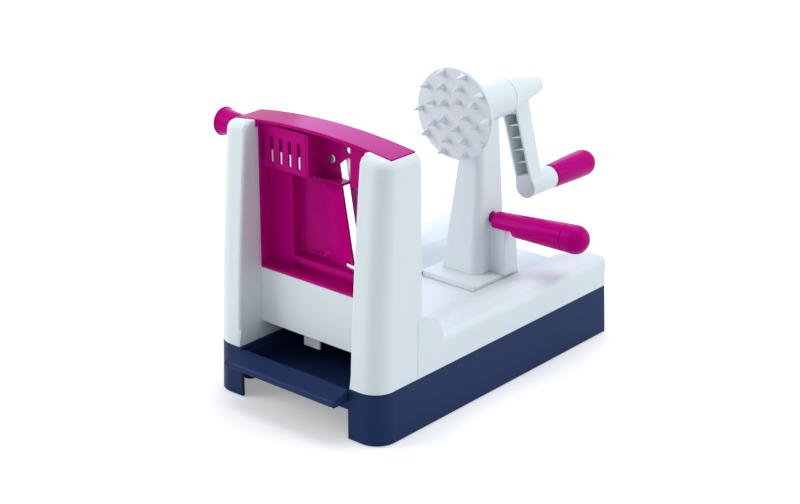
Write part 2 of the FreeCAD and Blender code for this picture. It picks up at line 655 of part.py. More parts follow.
def upper_housing():
    body = new_body("upper_housing")
    flank = deck_outline("0", "trough_floor", "trough_width/2", "trough_lip", "trough_bow")
    block(body, "deck", "y", "tower_back - 5", "rear", flank)
    far = "side + 20"
    trim = rectangle(f"-({far})", "front - 20", far, "rear + 20")
    footprint = plan("side", "front", "rear", "front_corner", "rear_corner")
    cut(body, "rear_corners", "z", "base_height - 1", "deck_height + 1", trim, footprint)
    loft(body, "tower", "z", [
        ("base_height", tower_plan("0", "0", "front_corner")),
        ("tower_waist", tower_plan("rake_waist", "taper_waist", "corner_waist")),
        ("cover_crown", tower_plan("rake_top", "taper_top", "corner_top")),
    ], ruled=False)
    over = "cover_crown + 10"
    arch_end = "(arch_crown - cover_radius + sqrt(cover_radius^2 - (side + 1)^2))"
    arch = [
        ("side + 1", arch_end),
        ("side + 1", over),
        ("-side - 1", over),
        ("-side - 1", arch_end, "cover_radius", RIGHT),
    ]
    roof = cut(body, "arch", "y", "front - 1", "tower_back + 1", arch)
    doc.recompute()
    top_edges = []
    for number, edge in enumerate(roof.Shape.Edges, start=1):
        corners = [corner.Point for corner in edge.Vertexes]
        at_top = min(corner.z for corner in corners) > value("cover_under")
        if at_top and min(corner.y for corner in corners) < value("tower_back") - 0.01:
            top_edges.append(f"Edge{number}")
    crown = body.newObject("PartDesign::Fillet", "tower_top")
    crown.Base = (roof, top_edges)
    crown.setExpression("Radius", bind("tower_round"))
    shoulder = [
        ("tower_back - 5", "base_height"),
        ("shoulder_back", "base_height"),
        ("shoulder_back", "shoulder_height - shoulder_round", "shoulder_round", LEFT),
        ("tower_back", "shoulder_height"),
        ("tower_back - 5", "shoulder_height"),
    ]
    block(body, "shoulder", "x", "-side", "side", shoulder)
    gap = rectangle("front - 10", "base_height - 1", "bar_front", over)
    cut(body, "gap_between_pillars", "x", "-throat", "throat", gap)
    seat = rectangle("bar_front - 1", "shelf_height", "tower_back + 10", over)
    cut(body, "insert_seat", "x", "-throat", "throat", seat)
    belly = [
        ("bar_front - 1", "base_height - 1"),
        ("shoulder_back - wall", "base_height - 1"),
        ("shoulder_back - wall", "shoulder_height - shoulder_round", "shoulder_round - wall", LEFT),
        ("tower_back", "shoulder_height - wall"),
        ("tower_back - wall", "shoulder_height - wall"),
        ("tower_back - wall", "shelf_height - wall"),
        ("bar_front + wall", "shelf_height - wall"),
        ("bar_front + wall", "bar_bottom"),
        ("bar_front - 1", "bar_bottom"),
    ]
    cut(body, "chute", "x", "-throat", "throat", belly)
    for sign, turn in (("", LEFT), ("-", RIGHT)):
        hollow_pillar(body, sign, turn)
    under_deck = deck_outline(
        "wall", "trough_floor - wall", "trough_width/2 + rail_backing", "wall + 1.5", "trough_bow"
    )
    cut(body, "under_deck", "y", "shoulder_back", "rear - wall", under_deck)
    reach = "throat + tongue_depth + slide_gap"
    half_tongue = "(tongue_thick/2 + slide_gap)"
    grooves = both_sides(rectangle(
        "throat - 1", f"tongue_middle - {half_tongue}", reach, f"tongue_middle + {half_tongue}"
    ))
    cut(body, "insert_grooves", "z", "shelf_height", over, *grooves)
    recess = rectangle(
        "-cover_half - slide_gap", "cover_start - slide_gap", "cover_half + slide_gap", "tower_back + 10"
    )
    cut(body, "cover_recess", "z", "cover_under - slide_gap", over, recess)
    notch_radius = "(knob_stem + knob_gap)"
    notch = [
        ("knob_line", f"knob_height - {notch_radius}", notch_radius, LEFT),
        (f"knob_line + {notch_radius}", "knob_height"),
        (f"knob_line + {notch_radius}", over),
        (f"knob_line - {notch_radius}", over),
        (f"knob_line - {notch_radius}", "knob_height", notch_radius, LEFT),
    ]
    cut(body, "knob_notch", "x", "-side - 1", "-throat + 1", notch)
    guide = "foot_width/2 + guide_depth + slide_gap"
    guides = both_sides(rectangle(
        "trough_width/2 - 1", "trough_floor", guide, "trough_floor + guide_thick + 2*slide_gap"
    ))
    cut(body, "guide_grooves", "y", "shoulder_back", "rear + 1", *guides)
    tab = rectangle("-tab_left", "tab_bottom", "-tab_left + tab_width", "shelf_height - wall/2")
    block(body, "stop_tab", "y", "front + tab_setback", "front + tab_setback + tab_thick", tab)
    posts = [("side - screw_side", "front + screw_front"), ("-(side - screw_side)", "front + screw_front")]
    block(body, "front_posts", "z", "base_height", "base_height + screw_bite + wall",
          *circles("screw_boss", posts))
    posts = [("side - screw_side", "rear - screw_rear"), ("-(side - screw_side)", "rear - screw_rear")]
    block(body, "rear_posts", "z", "base_height", "deck_height - wall/2", *circles("screw_boss", posts))
    cut(body, "pilot_holes", "z", "base_height - 1", "base_height + screw_bite",
        *circles("screw_shank + thread_play", screw_places()))


def hollow_pillar(body, sign, turn):
    """The hollow of one pillar, and the hollow of the shoulder behind it."""
    name = "right" if turn == LEFT else "left"
    inner = f"{sign}(throat + pillar_skin)"
    outer = f"{sign}(side - wall)"

    def section(front_line, taper):
        edge = f"{sign}(side - wall - {taper})"
        return [
            (inner, front_line),
            (f"{sign}(side - front_corner - {taper})", front_line, "(front_corner - wall)", turn),
            (edge, f"{front_line} + front_corner - wall"),
            (edge, "tower_back - wall"),
            (inner, "tower_back - wall"),
        ]

    rise = "(hollow_height - base_height)/(cover_crown - base_height)"
    loft(body, f"{name}_pillar_hollow", "z", [
        ("base_height", section("front + wall", "0")),
        ("hollow_height", section(f"front + wall + rake_top*{rise}", f"taper_top*{rise}")),
    ], away=True)
    hollow = [
        ("tower_back - wall - 1", "base_height - 1"),
        ("shoulder_back - wall", "base_height - 1"),
        ("shoulder_back - wall", "shoulder_height - shoulder_round", "shoulder_round - wall", LEFT),
        ("tower_back", "shoulder_height - wall"),
        ("tower_back - wall - 1", "shoulder_height - wall"),
    ]
    start, end = (inner, outer) if turn == LEFT else (outer, inner)
    cut(body, f"{name}_shoulder_hollow", "x", start, end, hollow)


def slit_left(height):
    """The slit's left edge at a height: it leans to the left on its way up."""
    return f"(slit_foot - slit_slope*({height} - slit_low))"


def insert_frame():
    body = new_body("insert_frame")
    frame = rectangle("-insert_half", "insert_bottom", "insert_half", "cover_under + 1")
    block(body, "frame", "y", "bar_front", "food_side", frame)
    cover = [
        ("-cover_half", "cover_under"),
        ("cover_half", "cover_under"),
        ("cover_half", "cover_end", "cover_radius", LEFT),
        ("-cover_half", "cover_end"),
    ]
    block(body, "cover", "y", "cover_start", "cover_start + cover_depth", cover)
    inner = "(insert_half - insert_side)"
    ceiling = f"(cover_crown - cover_skin - cover_radius + sqrt(cover_radius^2 - {inner}^2))"
    cavity = [
        (f"-{inner}", "insert_bottom + insert_flange"),
        (inner, "insert_bottom + insert_flange"),
        (inner, ceiling, "cover_radius", LEFT),
        (f"-{inner}", ceiling),
    ]
    cut(body, "cavity", "y", "cover_start - 1", "cavity_back", cavity)
    strip = f"(guide_strip - {inner})"

    def recess(height):
        return [
            (strip, "cavity_back - 0.1"),
            (slit_left(height), "cavity_back - 0.1", "recess_bow", LEFT),
            (strip, "cavity_back + recess_depth"),
        ]

    loft(body, "recess", "z", [
        ("recess_low", recess("recess_low")),
        ("recess_high", recess("recess_high")),
    ], away=True)
    sill = rectangle(strip, "insert_bottom + insert_flange", slit_left("slit_low"), "sill_height")
    cut(body, "sill_step", "y", "cavity_back - 0.1", "cavity_back + recess_depth/2", sill)

    def back_of_deflector(height):
        edge = slit_left(height)
        return [
            (f"{edge} - deflector_length", "food_side + 0.1"),
            (f"{edge} + 2", "food_side + 0.1"),
            (f"{edge} + 2", "cavity_back + deflector"),
            (edge, "cavity_back + deflector"),
        ]

    loft(body, "deflector_back", "z", [
        ("recess_low - 2", back_of_deflector("recess_low - 2")),
        ("field_low - 2", back_of_deflector("field_low - 2")),
    ], away=True)
    field = rectangle("-field_left", "field_low", "field_right", "cover_under + 2")
    cut(body, "field", "y", "cavity_back - 1", "field_back", field)
    relief = rectangle(
        "pin_radius + 1.4", "field_low - 6", "peep_side + peep_radius + 2", "peep_height + peep_radius + 1"
    )
    cut(body, "field_relief", "y", "field_back + field_skin", "food_side + 1", relief)
    slit = [
        (slit_left("slit_low"), "slit_low"),
        (f"{slit_left('slit_low')} - notch_length", "slit_low - 2.2"),
        (f"{slit_left('slit_low')} - notch_length", "slit_low - 2.2 - notch_height"),
        (f"{slit_left('slit_low')} + slit_right", "slit_low - 2.2 - notch_height"),
        (f"{slit_left('field_low')} + slit_right", "field_low"),
        (f"{slit_left('field_low')} + slit_right - field_slit", "field_low"),
        (f"{slit_left('slit_peak')} + slit_right - field_slit", "slit_peak"),
        (f"{slit_left('slit_peak')} + 1.5", "slit_peak"),
        (f"{slit_left('slit_high')} - field_slit", "slit_high"),
        (f"{slit_left('field_low')} - field_slit", "field_low"),
        (slit_left("field_low"), "field_low"),
    ]
    cut(body, "slit", "y", "cavity_back - 1", "food_side + 1", slit)
    cut(body, "round_hole", "y", "cavity_back - 1", "food_side + 1",
        ("peep_side", "peep_height", "peep_radius"))
    cut(body, "pin_hole", "y", "field_back - 1", "food_side + 1",
        ("0", "crank_height", "pin_radius + thread_play"))
    teeth = []
    for number in range(4):
        middle = f"-(slot_first + {number}*slot_pitch)"
        half = "(tooth_thick/2 + tooth_gap)"
        teeth.append(rectangle(
            f"{middle} - {half}", "slot_low - tooth_gap", f"{middle} + {half}",
            "slot_low + tooth_height + tooth_gap"
        ))
    cut(body, "tooth_slots", "y", "cavity_back - 1", "food_side + 1", *teeth)
    tongues = both_sides(rectangle(
        "insert_half - 1", "tongue_middle - tongue_thick/2", "insert_half + tongue_depth",
        "tongue_middle + tongue_thick/2"
    ))
    block(body, "tongues", "z", "insert_bottom", "cover_under + 1", *tongues)
    core = rectangle(
        f"-{inner} + 1", "cavity_back + insert_side", f"{strip} - insert_side", "food_side - insert_side"
    )
    cut(body, "moulding_core", "z", "insert_bottom - 1", "carrier_bottom - 7", core)
    cut(body, "knob_hole", "x", "-insert_half - 1", "-insert_half + insert_side + 3",
        ("knob_line", "knob_height", "knob_stem/2 + thread_play"))
    cut(body, "stem_notch", "x", "-insert_half - tongue_depth - 1", "-insert_half",
        ("knob_line", "knob_height", "knob_stem + slide_gap"))
    cut(body, "rivet_holes", "y", "food_side - 8.1", "food_side + 1",
        *circles("rivet_radius + thread_play", rivet_places()))


def rivet_places():
    places = []
    for height in ("(blade_top - 8)", "(blade_bottom + 8)"):
        places.append((f"{slit_left(height)} - blade_lead + blade_width - 3.4", height))
    return places


def straight_blade():
    body = new_body("straight_blade")
    left_top = f"{slit_left('blade_top')} - blade_lead"
    left_bottom = f"{slit_left('blade_bottom')} - blade_lead"
    steel = [
        (left_bottom, "blade_bottom"),
        (f"{left_bottom} + blade_width", "blade_bottom"),
        (f"{left_top} + blade_width", "blade_top"),
        (left_top, "blade_top"),
    ]
    block(body, "steel", "y", "food_side", "food_side + blade_sheet", steel)
    cut(body, "rivet_holes", "y", "food_side - 1", "food_side + blade_sheet + 1",
        *circles("rivet_radius + thread_play", rivet_places()))


def blade_screws():
    body = new_body("blade_screws")
    block(body, "shanks", "y", "food_side - 8", "food_side + blade_sheet",
          *circles("rivet_radius", rivet_places()))
    block(body, "heads", "y", "food_side + blade_sheet", "food_side + 2*blade_sheet",
          *circles("rivet_head", rivet_places()))


def comb_carrier():
    body = new_body("comb_carrier")
    left = "-(insert_half - insert_side - thread_play)"
    face = "cavity_back - carrier_thick"
    outline = rectangle(left, "carrier_bottom", "-carrier_right", "carrier_top")
    block(body, "carrier", "y", face, "cavity_back", outline)
    groove = rectangle(
        "-carrier_right - trim_width - trim_groove", "carrier_bottom - 1", "-carrier_right - trim_width",
        "carrier_top + 1"
    )
    cut(body, "trim_groove", "y", f"{face} - 1", f"{face} + trim_groove", groove)
    half = "slot_width/2"
    middle = "-slot_first"
    slot = [
        (f"{middle} + {half}", "slot_low + slot_width/2"),
        (f"{middle} + {half}", "slot_high - slot_width/2", half, LEFT),
        (middle, "slot_high", half, LEFT),
        (f"{middle} - {half}", "slot_high - slot_width/2"),
        (f"{middle} - {half}", "slot_low + slot_width/2", half, LEFT),
        (middle, "slot_low", half, LEFT),
    ]
    slots = cut(body, "slot", "y", f"{face} - 1", "cavity_back + 1", slot)
    row = body.newObject("PartDesign::LinearPattern", "slots")
    row.Originals = [slots]
    row.Direction = (next(item for item in body.Origin.OriginFeatures if item.Role == "X_Axis"), [""])
    row.Reversed = True
    row.setExpression("Length", bind("slot_pitch*(slot_count - 1)"))
    row.setExpression("Occurrences", bind("slot_count"))
    body.Tip = row
    strip = rectangle(
        "-slot_first - 3*slot_pitch - 6", "slot_low - 2.5", "-slot_first + 4.5", "slot_low + tooth_height + 2"
    )
    cut(body, "comb_seat", "y", "cavity_back - blade_sheet - thread_play", "cavity_back + 1", strip)


def comb_blade():
    body = new_body("comb_blade")
    strip = rectangle(
        "-slot_first - 3*slot_pitch - 5.8", "slot_low - 2.3", "-slot_first + 4.3",
        "slot_low + tooth_height + 1.8"
    )
    block(body, "strip", "y", "cavity_back - blade_sheet", "cavity_back", strip)
    teeth = []
    for number in range(4):
        middle = f"-(slot_first + {number}*slot_pitch)"
        teeth.append(rectangle(
            f"{middle} - tooth_thick/2", "slot_low + tooth_gap", f"{middle} + tooth_thick/2",
            "slot_low + tooth_height"
        ))
    block(body, "teeth", "y", "cavity_back - carrier_thick + 0.8", "food_side + tooth_reach",
          *teeth)


def centre_pin():
    body = new_body("centre_pin")
    front_end = "field_back - pin_front"
    outline = [
        (front_end, "0"),
        ("food_side + pin_rear", "0"),
        ("food_side + pin_rear", "pin_tip"),
        ("food_side + pin_rear - 5", "pin_radius"),
        (f"{front_end} + pin_edge", "pin_radius", "pin_edge", LEFT),
        (front_end, "pin_radius - pin_edge"),
    ]
    revolve(body, "pin", "x", outline, up="crank_height")


def insert_knob():
    body = new_body("insert_knob")
    body.setExpression("Placement.Base.y", bind("shift_y + knob_line"))
    body.setExpression("Placement.Base.z", bind("knob_height"))
    neck_end = "-side - knob_gap"
    outline = [
        ("-knob_reach", "0"),
        ("-insert_half + insert_side + 3", "0"),
        ("-insert_half + insert_side + 3", "knob_stem/2"),
        ("-insert_half - 0.1", "knob_stem/2"),
        ("-insert_half - 0.1", "knob_stem"),
        (neck_end, "knob_stem"),
        (neck_end, "knob_neck", "knob_flare", RIGHT),
        ("-knob_reach + knob_dome + knob_rim", "knob_radius - 0.8"),
        ("-knob_reach + knob_dome + knob_rim", "knob_radius"),
        ("-knob_reach + knob_dome", "knob_radius", "knob_bow", LEFT),
    ]
    revolve(body, "knob", "y", outline)


def carriage_foot():
    body = new_body("carriage_foot")
    half = "foot_width/2"
    outline = [
        (f"-{half} + 3", "foot_front"),
        (f"{half} - 3", "foot_front", "3", LEFT),
        (half, "foot_front + 3"),
        (half, "foot_rear"),
        (f"-{half}", "foot_rear"),
        (f"-{half}", "foot_front + 3", "3", LEFT),
    ]
    block(body, "plate", "z", "foot_bottom", "foot_top", outline)
    tongues = both_sides(rectangle(f"{half} - 1", "foot_front + 4", f"{half} + guide_depth", "foot_rear"))
    block(body, "tongues", "z", "foot_bottom", "foot_bottom + guide_thick", *tongues)
    cut(body, "screw_holes", "z", "foot_bottom - 1", "foot_top + 1",
        *circles("screw_shank + screw_play", column_screw_places()))
    cut(body, "head_wells", "z", "foot_bottom - 1", "foot_bottom + screw_head_height + screw_play",
        *circles("screw_head + screw_play", column_screw_places()))


def column_screw_places():
    return [("-column_screw_left", "web_middle"), ("column_screw_right", "web_middle")]


def column_screws():
    body = new_body("column_screws")
    top_of_head = "foot_bottom + screw_head_height + screw_play"
    block(body, "heads", "z", "foot_bottom + screw_play", top_of_head,
          *circles("screw_head", column_screw_places()))
    block(body, "shanks", "z", top_of_head, "foot_top + column_screw_bite",
          *circles("screw_shank", column_screw_places()))


def column_plan(left, right, front_line, rear_line, rounding):
    """The column across: round front edges, square at the back."""
    return [
        (f"-({left})", rear_line),
        (f"-({left})", f"{front_line} + 1.4*{rounding}"),
        (f"-({left}) + {rounding}", front_line),
        (f"{right} - {rounding}", front_line, rounding, LEFT),
        (right, f"{front_line} + {rounding}"),
        (right, rear_line),
    ]


def column():
    body = new_body("column")
    loft(body, "shaft", "z", [
        ("foot_top", column_plan("column_left", "column_right", "column_front", "column_rear", "column_round")),
        ("neck_height", column_plan("neck_left", "neck_right", "neck_front", "neck_rear", "column_round*0.7")),
    ])
    reach = "barrel_end"
    outline = [
        ("barrel_start", "0"),
        (reach, "0"),
        (reach, "barrel_rear"),
        ("barrel_start + 1", "barrel_front", "1", LEFT),
        ("barrel_start", "barrel_front - 1"),
    ]
    revolve(body, "barrel", "x", outline, up="crank_height")
    w = "column_wall"
    loft(body, "hollow", "z", [
        ("foot_top", column_plan(
            f"column_left - {w}", f"column_right - {w}", f"(column_front + {w})", f"column_rear - {w}",
            "(column_round - 2)")),
        ("crank_height - barrel_front - 6", column_plan(
            f"neck_left - {w}/2", f"neck_right - {w}", f"(neck_front + {w} - 0.6)", f"neck_rear - {w}",
            "(column_round*0.7 - 2)")),
    ], away=True)
    web = [
        ("-column_left + 1.5", "foot_top"),
        ("column_right - 1.5", "foot_top"),
        ("neck_right - 1.5", "neck_height - 4"),
        ("-neck_left + 1.5", "neck_height - 4"),
    ]
    block(body, "web", "y", "web_middle - column_web/2", "web_middle + column_web/2", web)
    bracket = [
        ("column_right - 2", "foot_top"),
        ("bracket_right", "foot_top"),
        ("bracket_right - bracket_lean", "bracket_top"),
        ("column_right - 2.5", "bracket_top"),
    ]
    block(body, "bracket", "y", "bracket_front", "bracket_rear", bracket)
    inside = [
        ("column_right + 1", "foot_top - 1"),
        ("bracket_right - 2.5", "foot_top - 1"),
        ("bracket_right - bracket_lean - 2.5", "bracket_top - 3"),
        ("column_right + 1", "bracket_top - 3"),
    ]
    cut(body, "bracket_hollow", "y", "bracket_front + 2.5", "bracket_rear - 2.5", inside)
    bore = [
        ("barrel_start - 1", "0"),
        ("barrel_end + 1", "0"),
        ("barrel_end + 1", "bush_flange + thread_play"),
        ("barrel_end - flange_thick", "bush_flange + thread_play"),
        ("barrel_end - flange_thick", "bush_radius + thread_play"),
        ("front_flange + flange_thick", "bush_radius + thread_play"),
        ("front_flange + flange_thick", "disc_boss + turn_gap"),
        ("barrel_start - 1", "disc_boss + turn_gap"),
    ]
    revolve(body, "bore", "x", bore, up="crank_height", away=True)
    axis = ("lever_station", "spigot_height")
    cut(body, "spigot_hole", "x", "lever_root - spigot_length", "column_right + 1",
        (*axis, "lever_spigot + spigot_play"))
    cut(body, "bolt_hole", "x", "lever_root - spigot_length - 4", "lever_root - spigot_length + 1",
        (*axis, "lever_bolt + spigot_play"))
    cut(body, "bolt_well", "x", "-column_left", "lever_root - spigot_length - 3",
        (*axis, "bolt_head + 2*spigot_play"))
    cut(body, "pilot_holes", "z", "foot_top - 1", "foot_top + column_screw_bite",
        *circles("screw_shank + thread_play", column_screw_places()))


def bush(label, start, flange_first):
    """A flanged plain bush round the crank shaft."""
    body = new_body(label)
    end = f"{start} + bush_length"
    hole = "shaft_radius + shaft_fit"
    if flange_first:
        steps = [(start, "bush_flange"), (f"{start} + flange_thick", "bush_flange"),
                 (f"{start} + flange_thick", "bush_radius"), (end, "bush_radius")]
    else:
        steps = [(start, "bush_radius"), (f"{end} - flange_thick", "bush_radius"),
                 (f"{end} - flange_thick", "bush_flange"), (end, "bush_flange")]
    outline = [(end, hole), *reversed(steps), (start, hole)]
    revolve(body, "bush", "x", outline, up="crank_height")


def turned_body(label):
    """A piece on the crank axis, drawn about that axis."""
    return new_body(label, "crank_height")


def prong_disc():
    body = turned_body("prong_disc")
    outline = [
        ("disc_front", "0"),
        ("boss_back", "0"),
        ("boss_back", "disc_boss"),
        ("disc_back", "disc_boss"),
        ("disc_back", "disc_radius"),
        ("disc_front + disc_edge", "disc_radius", "disc_edge", LEFT),
        ("disc_front", "disc_radius - disc_edge"),
    ]
    revolve(body, "disc", "x", outline)
    cut(body, "shaft_seat", "y", "disc_front + shaft_seat", "boss_back + 1",
        ("0", "0", "shaft_radius + thread_play"))
    cut(body, "pin_hole", "z", "-disc_boss - 1", "disc_boss + 1",
        ("0", "boss_back - boss_depth/2", "disc_pin + thread_play"))
    for ring, start, count in (("outer", "outer_start", 10), ("middle", "middle_start", 8),
                               ("inner", "inner_start", 5)):
        seed = loft(body, f"{ring}_prong", "y", [
            ("disc_front + 0.2", prong(f"{ring}_ring", start, "prong_base")),
            ("disc_front - prong_length", prong(f"{ring}_ring", start, "prong_tip")),
        ])
        circle = body.newObject("PartDesign::PolarPattern", f"{ring}_prongs")
        circle.Originals = [seed]
        circle.Axis = (next(item for item in body.Origin.OriginFeatures if item.Role == "Y_Axis"), [""])
        circle.Angle = 360
        circle.Occurrences = count
        body.Tip = circle


def prong(ring, start, width):
    """A prong's square section, its sides along and across the ring's radius."""
    corners = []
    for along, across in ((-1, -1), (1, -1), (1, 1), (-1, 1)):
        out = f"({ring} + {along}*{width}/2)"
        over = f"({across}*{width}/2)"
        corners.append((
            f"{out}*cos({start}) - {over}*sin({start})",
            f"{out}*sin({start}) + {over}*cos({start})",
        ))
    return corners


def disc_pin():
    body = turned_body("disc_pin")
    block(body, "pin", "z", "-disc_boss + 0.3", "disc_boss - 0.3",
          ("0", "boss_back - boss_depth/2", "disc_pin"))


def crank_shaft():
    body = turned_body("crank_shaft")
    block(body, "rod", "y", "disc_front + shaft_seat", "shaft_rear", ("0", "0", "shaft_radius"))
    cut(body, "pin_hole", "z", "-shaft_radius - 1", "shaft_radius + 1",
        ("0", "boss_back - boss_depth/2", "disc_pin + thread_play"))


def thrust_washer():
    body = turned_body("thrust_washer")
    hole = ("0", "0", "shaft_radius + thread_play")
    block(body, "ring", "y", "hub_start", "hub_start + washer_thick", ("0", "0", "washer_radius"), hole)


def crank_body(label):
    """A piece of the crank arm: drawn hanging straight down, then swung to the right."""
    body = new_body(label, "crank_height")
    body.Placement.Rotation = FreeCAD.Rotation(FreeCAD.Vector(0, -1, 0), value("crank_angle"))
    body.setExpression("Placement.Rotation.Angle", bind("crank_angle"))
    return body


def crank_arm():
    body = crank_body("crank_arm")
    hub = "hub_start + 0.1"
    nose = "hub_end - hub_nose"
    outline = [
        (hub, "0"),
        ("hub_end", "0", "nose_radius", LEFT),
        (nose, "nose_height"),
        (hub, "barrel_rear - 0.05"),
    ]
    revolve(body, "hub", "x", outline)
    side_view = [
        ("arm_front", "-crank_throw"),
        ("arm_front + arm_depth_low", "-crank_throw"),
        ("arm_front + arm_depth", "-barrel_rear/2"),
        ("arm_front", "-barrel_rear/2"),
    ]
    block(body, "arm", "x", "-arm_width/2", "arm_width/2", side_view)
    channel = [
        ("arm_front - 1", "-crank_throw + boss_radius"),
        ("arm_front + arm_depth_low - arm_wall", "-crank_throw + boss_radius"),
        ("arm_front + arm_depth - arm_wall", "-barrel_rear - 1"),
        ("arm_front - 1", "-barrel_rear - 1"),
    ]
    cut(body, "channel", "x", "-arm_width/2 + arm_wall", "arm_width/2 - arm_wall", channel)
    ribs = []
    for number in range(1, 5):
        height = f"(-barrel_rear - {number}*(crank_throw - boss_radius - barrel_rear)/5)"
        ribs.append(rectangle("-arm_width/2 + 1", f"{height} - arm_rib/2", "arm_width/2 - 1",
                              f"{height} + arm_rib/2"))
    block(body, "ribs", "y", "arm_front + rib_setback", "arm_front + arm_depth_low - 1", *ribs)
    block(body, "boss", "y", "arm_front", "boss_end", ("0", "-crank_throw", "boss_radius"))
    cut(body, "pin_seat", "y", "boss_end - pin_seat", "boss_end + 1",
        ("0", "-crank_throw", "grip_pin + thread_play"))
    cut(body, "shaft_seat", "y", f"{hub} - 1", "shaft_rear", ("0", "0", "shaft_radius + thread_play"))
    cut(body, "washer_seat", "y", f"{hub} - 1", "hub_start + washer_thick",
        ("0", "0", "washer_radius + thread_play"))


def grip_parts():
    axis = ("0", "-crank_throw")
    pin = crank_body("grip_pin")
    block(pin, "rod", "y", "boss_end - pin_seat", "grip_finish - grip_cap", (*axis, "grip_pin"))
    washer = crank_body("grip_washer")
    block(washer, "ring", "y", "boss_end", "boss_end + grip_washer", (*axis, "grip_foot - 1.5"),
          (*axis, "grip_pin + thread_play"))
    grip = crank_body("crank_grip")
    end = "grip_finish"
    outline = [
        ("grip_start", "grip_pin + grip_fit"),
        (f"{end} - grip_cap + turn_gap", "grip_pin + grip_fit"),
        (f"{end} - grip_cap + turn_gap", "0"),
        (end, "0", "grip_radius", LEFT),
        (f"{end} - grip_radius", "grip_radius"),
        ("grip_start + 0.8", "grip_foot"),
        ("grip_start", "grip_foot - 0.8"),
    ]
    drawing = revolve(grip, "grip", "x", outline, up="-crank_throw")
    return drawing


def lever_body(label):
    """A piece of the push lever, drawn along its own axis from its inner end."""
    body = new_body(label, "lever_height")
    body.setExpression("Placement.Base.x", bind("shift_x + lever_root"))
    body.setExpression("Placement.Base.y", bind("shift_y + lever_station"))
    body.Placement.Rotation = FreeCAD.Rotation(FreeCAD.Vector(0, -1, 0), value("lever_tilt"))
    body.setExpression("Placement.Rotation.Angle", bind("lever_tilt"))
    return body


def lever_radius(station):
    return f"(lever_foot + (lever_end - lever_foot)*({station})/lever_length)"


def lever_grip(body, start, away=False):
    """The lever's long cone, or its hollow, up to the cap's seam."""
    inset = "lever_shell" if away else "0"
    end = "lever_seam + 1" if away else "lever_seam"
    outline = [
        (start, "0"),
        (end, "0"),
        (end, f"{lever_radius('lever_seam')} - {inset}"),
        (f"{start} + neck_round", f"{lever_radius(start)} - {inset}", "neck_round", LEFT),
        (start, f"{lever_radius(start)} - neck_round - {inset}"),
    ]
    revolve(body, "hollow" if away else "cone", "y", outline, away=away)


def lever_parts():
    far = "lever_end + 5"
    neck = ("0", "neck_rise")
    upper = lever_body("lever_arm")
    lever_grip(upper, "neck_start")
    below = rectangle("neck_start - 1", f"-({far})", "lever_seam + 1", "-lever_split")
    cut(upper, "lower_half", "y", f"-({far})", far, below)
    lever_grip(upper, "lever_step", away=True)
    block(upper, "spigot", "x", "-spigot_length", "neck_start + 1", (*neck, "lever_spigot"))
    cut(upper, "bolt_hole", "x", "-spigot_length - 1", "lever_step - 8", (*neck, "lever_bolt + thread_play"))

    lower = lever_body("lever_underside")
    lever_grip(lower, "lever_step")
    above = rectangle("lever_step - 1", "-lever_split", "lever_seam + 1", far)
    cut(lower, "upper_half", "y", f"-({far})", far, above)
    lever_grip(lower, "lever_step + lever_shell", away=True)

    cap = lever_body("lever_end_cap")
    seam = lever_radius("lever_seam")
    tip = "lever_length + lever_end"
    outline = [
        ("lever_seam", "0"),
        (tip, "0", "lever_end", LEFT),
        ("lever_length", "lever_end"),
        ("lever_seam + 0.5", seam),
        ("lever_seam", f"{seam} - 0.5"),
    ]
    revolve(cap, "cap", "y", outline)
    plug = f"{seam} - lever_shell - 0.15"
    block(cap, "plug", "x", "lever_seam - 5", "lever_seam + 1", ("0", "0", plug))

    screw = lever_body("lever_screw")
    block(screw, "shank", "x", "-spigot_length - 3.2", "lever_step - 9", (*neck, "lever_bolt"))
    block(screw, "head", "x", "-spigot_length - 5.6", "-spigot_length - 3.2", (*neck, "bolt_head"))


base_tub()
rubber_feet()
housing_screws()
tray()
upper_housing()
insert_frame()
insert_knob()
comb_carrier()
comb_blade()
straight_blade()
blade_screws()
centre_pin()
carriage_foot()
column()
column_screws()
bush("front_bush", "front_flange", True)
bush("rear_bush", "(barrel_end - bush_length)", False)
crank_shaft()
prong_disc()
disc_pin()
thrust_washer()
crank_arm()
grip_parts()
lever_parts()

doc.recompute()

failed = [item.Label for item in doc.Objects if {"Invalid", "Error"} & set(item.State)]
if failed:
    raise SystemExit(f"failed: {failed}")
os.makedirs("parts", exist_ok=True)
for part in parts:
    shape = part.Shape
    if shape.isNull() or not shape.isValid() or not shape.Solids:
        raise SystemExit(f"{part.Label} has no valid shape")
    shape.exportStep(f"parts/{part.Label}.step")
    box = shape.BoundBox
    print(f"{part.Label}: {len(shape.Solids)} solid(s), {shape.Volume / 1000:.2f} cm3, "
          f"x {box.XMin:.1f} {box.XMax:.1f}, y {box.YMin:.1f} {box.YMax:.1f}, z {box.ZMin:.1f} {box.ZMax:.1f}")
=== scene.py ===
# %% [markdown]
# # A crank spiralizer, dressed for its picture
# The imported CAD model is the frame: every real size and every joint comes from it.
# Blender adds soft edges, finishes, light and a camera. Everything is in metres, with
# X to the right, Y to the back and Z up, and the table is at Z 0.

# %% Load the frame
import json
import math

import bmesh
import bpy
from mathutils import Matrix, Vector


